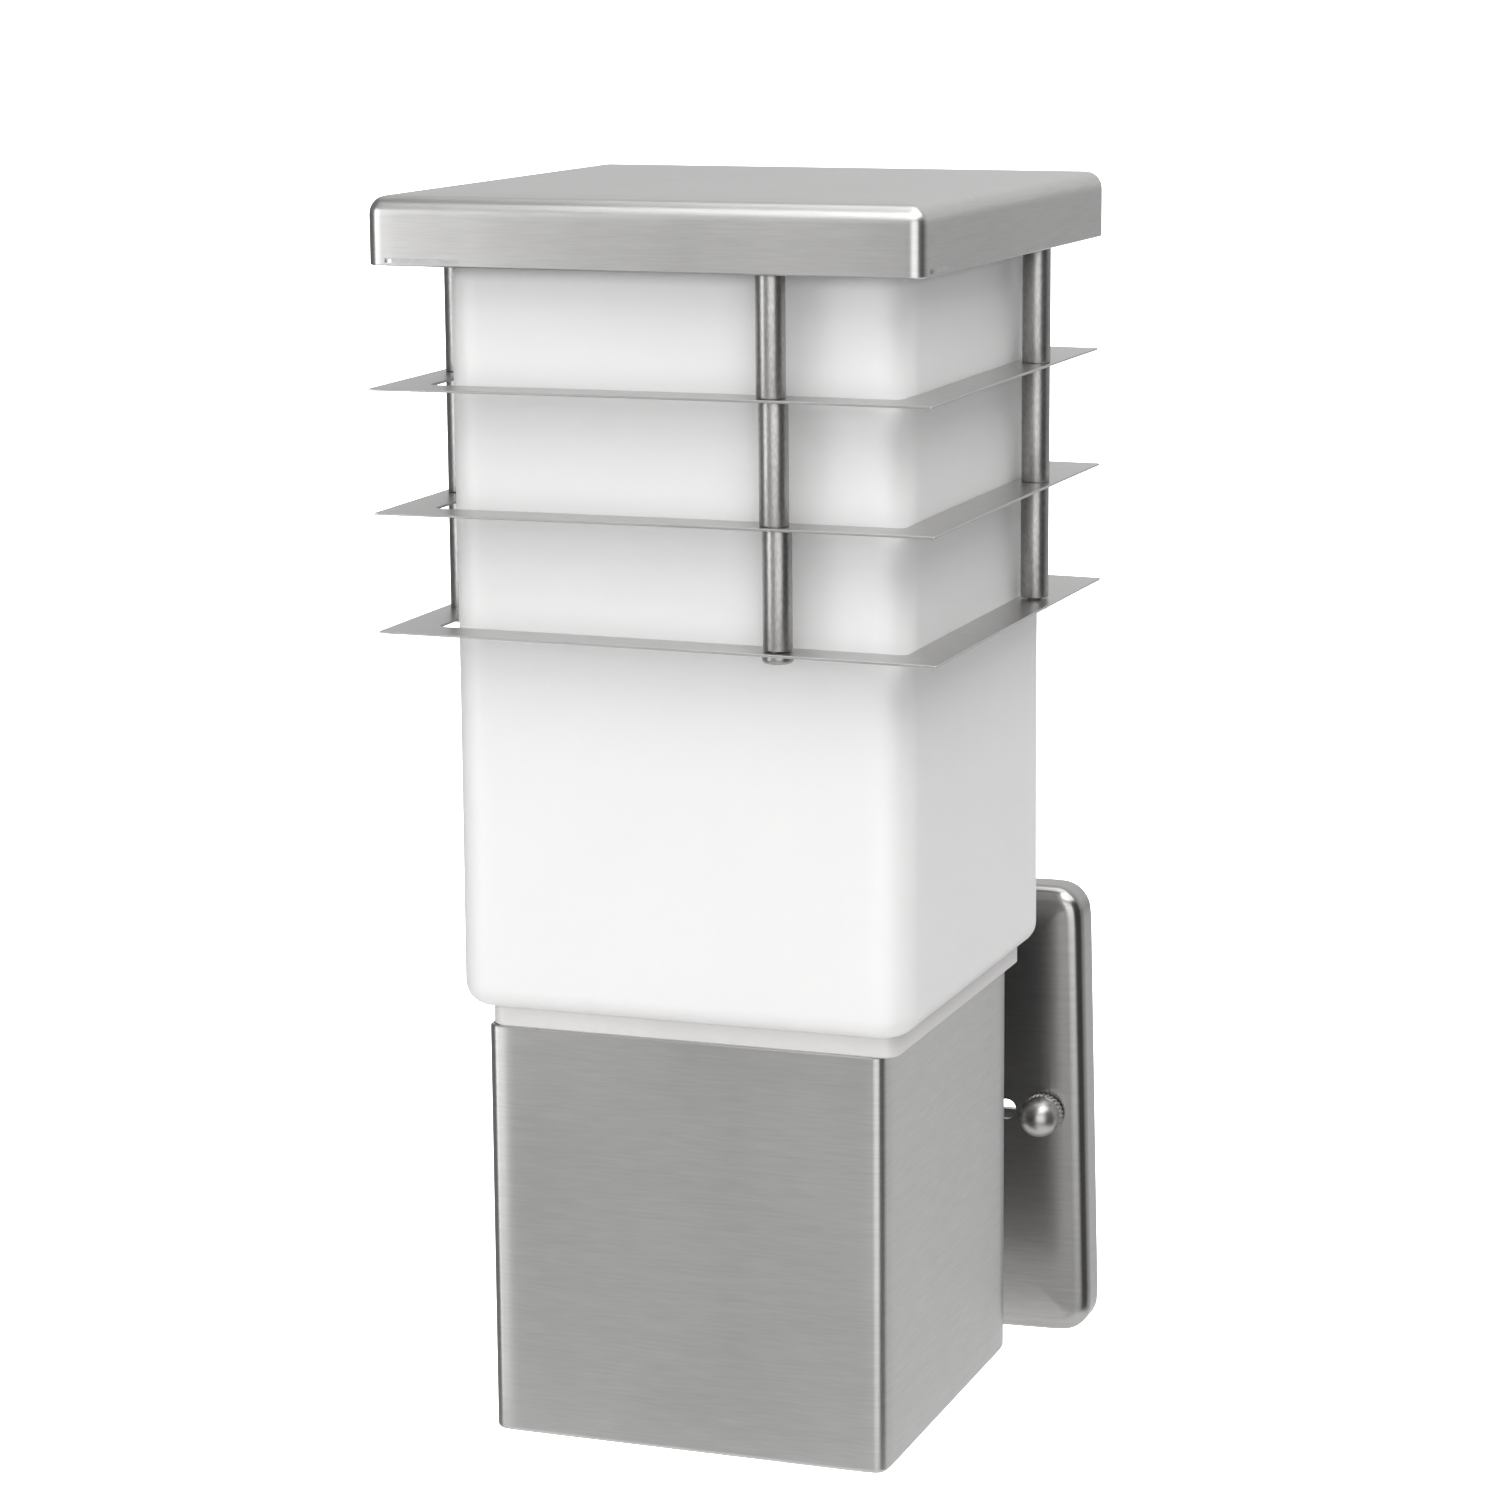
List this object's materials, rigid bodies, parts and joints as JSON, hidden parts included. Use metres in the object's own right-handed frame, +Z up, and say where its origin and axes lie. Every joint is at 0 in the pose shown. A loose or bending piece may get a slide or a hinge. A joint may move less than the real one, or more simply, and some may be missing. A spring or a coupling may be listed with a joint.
{
  "type": "outdoor wall lantern",
  "caption": "Square opal glass wall lantern with a pressed steel cap, three louvre frames on slim posts, a square base box and a rectangular wall plate.",
  "frame": {"origin": "middle of the wall fixing: the centre of the mounting bar's two slots, in the plane of the wall behind the wall plate", "axes": "+Z up; -Y out of the wall, towards the lantern's front; +X to the right as seen from the front"},
  "size_m": [0.14, 0.171, 0.3162],
  "materials": {
    "brushed_steel": "brushed, satin",
    "turned_steel": "drawn tube and turned parts, fine grain",
    "polished_steel": "polished",
    "zinc_steel": "zinc plated",
    "brass": "plain, slightly dull",
    "opal_glass": "opal, etched to a matt outer face",
    "lamp_glass": "frosted white",
    "silicone": "milky, translucent, matt",
    "black_rubber": "matt",
    "porcelain": "glazed ceramic",
    "black_insulation": "lead insulation",
    "white_insulation": "lead insulation",
    "green_insulation": "earth insulation and earth screw",
    "connector_plastic": "moulded",
    "nylon": "natural",
    "lamp_black": "black glass insulator"
  },
  "bodies": {
    "wall_body": {"wall_plate": "brushed_steel", "plate_gasket": "black_rubber", "mounting_bar": "zinc_steel", "mount_studs": "zinc_steel", "stud_nuts": "zinc_steel", "earth_screw": "green_insulation", "earth_terminal": "brass", "earth_lead": "green_insulation", "lead_live": "black_insulation", "lead_neutral": "white_insulation", "wire_connectors": "connector_plastic", "arm_tube": "brushed_steel", "arm_nipple": "brass", "arm_nuts": "zinc_steel", "arm_washers": "zinc_steel", "base_box": "brushed_steel", "seal_collar": "silicone", "clamp_bosses": "turned_steel", "holder_bracket": "zinc_steel", "holder_body": "porcelain", "holder_shell": "brass", "holder_contact": "brass", "holder_screws": "zinc_steel"},
    "head": {"cap": "brushed_steel", "cap_plate": "zinc_steel", "louvre_upper": "brushed_steel", "louvre_middle": "brushed_steel", "louvre_lower": "brushed_steel", "tubes_upper": "turned_steel", "tubes_middle": "turned_steel", "tubes_lower": "turned_steel", "tie_rods": "zinc_steel", "button_nuts": "turned_steel", "rod_nuts": "zinc_steel", "glass_shade": "opal_glass", "glass_gasket": "black_rubber", "glass_nipple": "brass", "glass_nuts": "zinc_steel", "glass_pad": "black_rubber", "glass_washer": "zinc_steel"},
    "lamp_rise": {"lamp_contact": "brass"},
    "lamp": {"lamp_insulator": "lamp_black", "lamp_cap": "brass", "lamp_globe": "lamp_glass"},
    "knob_left_travel": {"knob_washer_left": "black_rubber"},
    "knob_left": {"knob_nut_left": "polished_steel"},
    "knob_right_travel": {"knob_washer_right": "black_rubber"},
    "knob_right": {"knob_nut_right": "polished_steel"},
    "clamp_left_travel": {"clamp_tip_left": "nylon"},
    "clamp_left": {"clamp_screw_left": "zinc_steel"},
    "clamp_right_travel": {"clamp_tip_right": "nylon"},
    "clamp_right": {"clamp_screw_right": "zinc_steel"}
  },
  "joints": [
    {"name": "head_lift", "type": "slide", "parent": "wall_body", "child": "head", "axis": [0, 0, 1], "range_m": [0, 0.12]},
    {"name": "lamp_travel", "type": "slide", "parent": "wall_body", "child": "lamp_rise", "axis": [0, 0, 1], "range_m": [0, 0.02177]},
    {"name": "lamp_turn", "type": "hinge", "parent": "lamp_rise", "child": "lamp", "pos_m": [0, -0.101, 0.03], "axis": [0, 0, 1], "range_deg": [0, 2180]},
    {"name": "knob_left_travel", "type": "slide", "parent": "wall_body", "child": "knob_left_travel", "axis": [0, -1, 0], "range_m": [0, 0.0056]},
    {"name": "knob_left_turn", "type": "hinge", "parent": "knob_left_travel", "child": "knob_left", "pos_m": [-0.0508, -0.0128, 0], "axis": [0, -1, 0], "range_deg": [0, 2900]},
    {"name": "knob_right_travel", "type": "slide", "parent": "wall_body", "child": "knob_right_travel", "axis": [0, -1, 0], "range_m": [0, 0.0056]},
    {"name": "knob_right_turn", "type": "hinge", "parent": "knob_right_travel", "child": "knob_right", "pos_m": [0.0508, -0.0128, 0], "axis": [0, -1, 0], "range_deg": [0, 2900]},
    {"name": "clamp_left_travel", "type": "slide", "parent": "wall_body", "child": "clamp_left_travel", "axis": [0, 1, 0], "range_m": [0, 0.0042]},
    {"name": "clamp_left_turn", "type": "hinge", "parent": "clamp_left_travel", "child": "clamp_left", "pos_m": [-0.03, -0.05, 0.043], "axis": [0, 1, 0], "range_deg": [0, 2180]},
    {"name": "clamp_right_travel", "type": "slide", "parent": "wall_body", "child": "clamp_right_travel", "axis": [0, 1, 0], "range_m": [0, 0.0042]},
    {"name": "clamp_right_turn", "type": "hinge", "parent": "clamp_right_travel", "child": "clamp_right", "pos_m": [0.03, -0.05, 0.043], "axis": [0, 1, 0], "range_deg": [0, 2180]}
  ],
  "couplings": [
    {"joint": "lamp_turn", "follows": "lamp_travel", "rad_per_m": 1731.4},
    {"joint": "knob_left_turn", "follows": "knob_left_travel", "rad_per_m": 8976},
    {"joint": "knob_right_turn", "follows": "knob_right_travel", "rad_per_m": 8976},
    {"joint": "clamp_left_turn", "follows": "clamp_left_travel", "rad_per_m": 8976},
    {"joint": "clamp_right_turn", "follows": "clamp_right_travel", "rad_per_m": 8976}
  ]
}
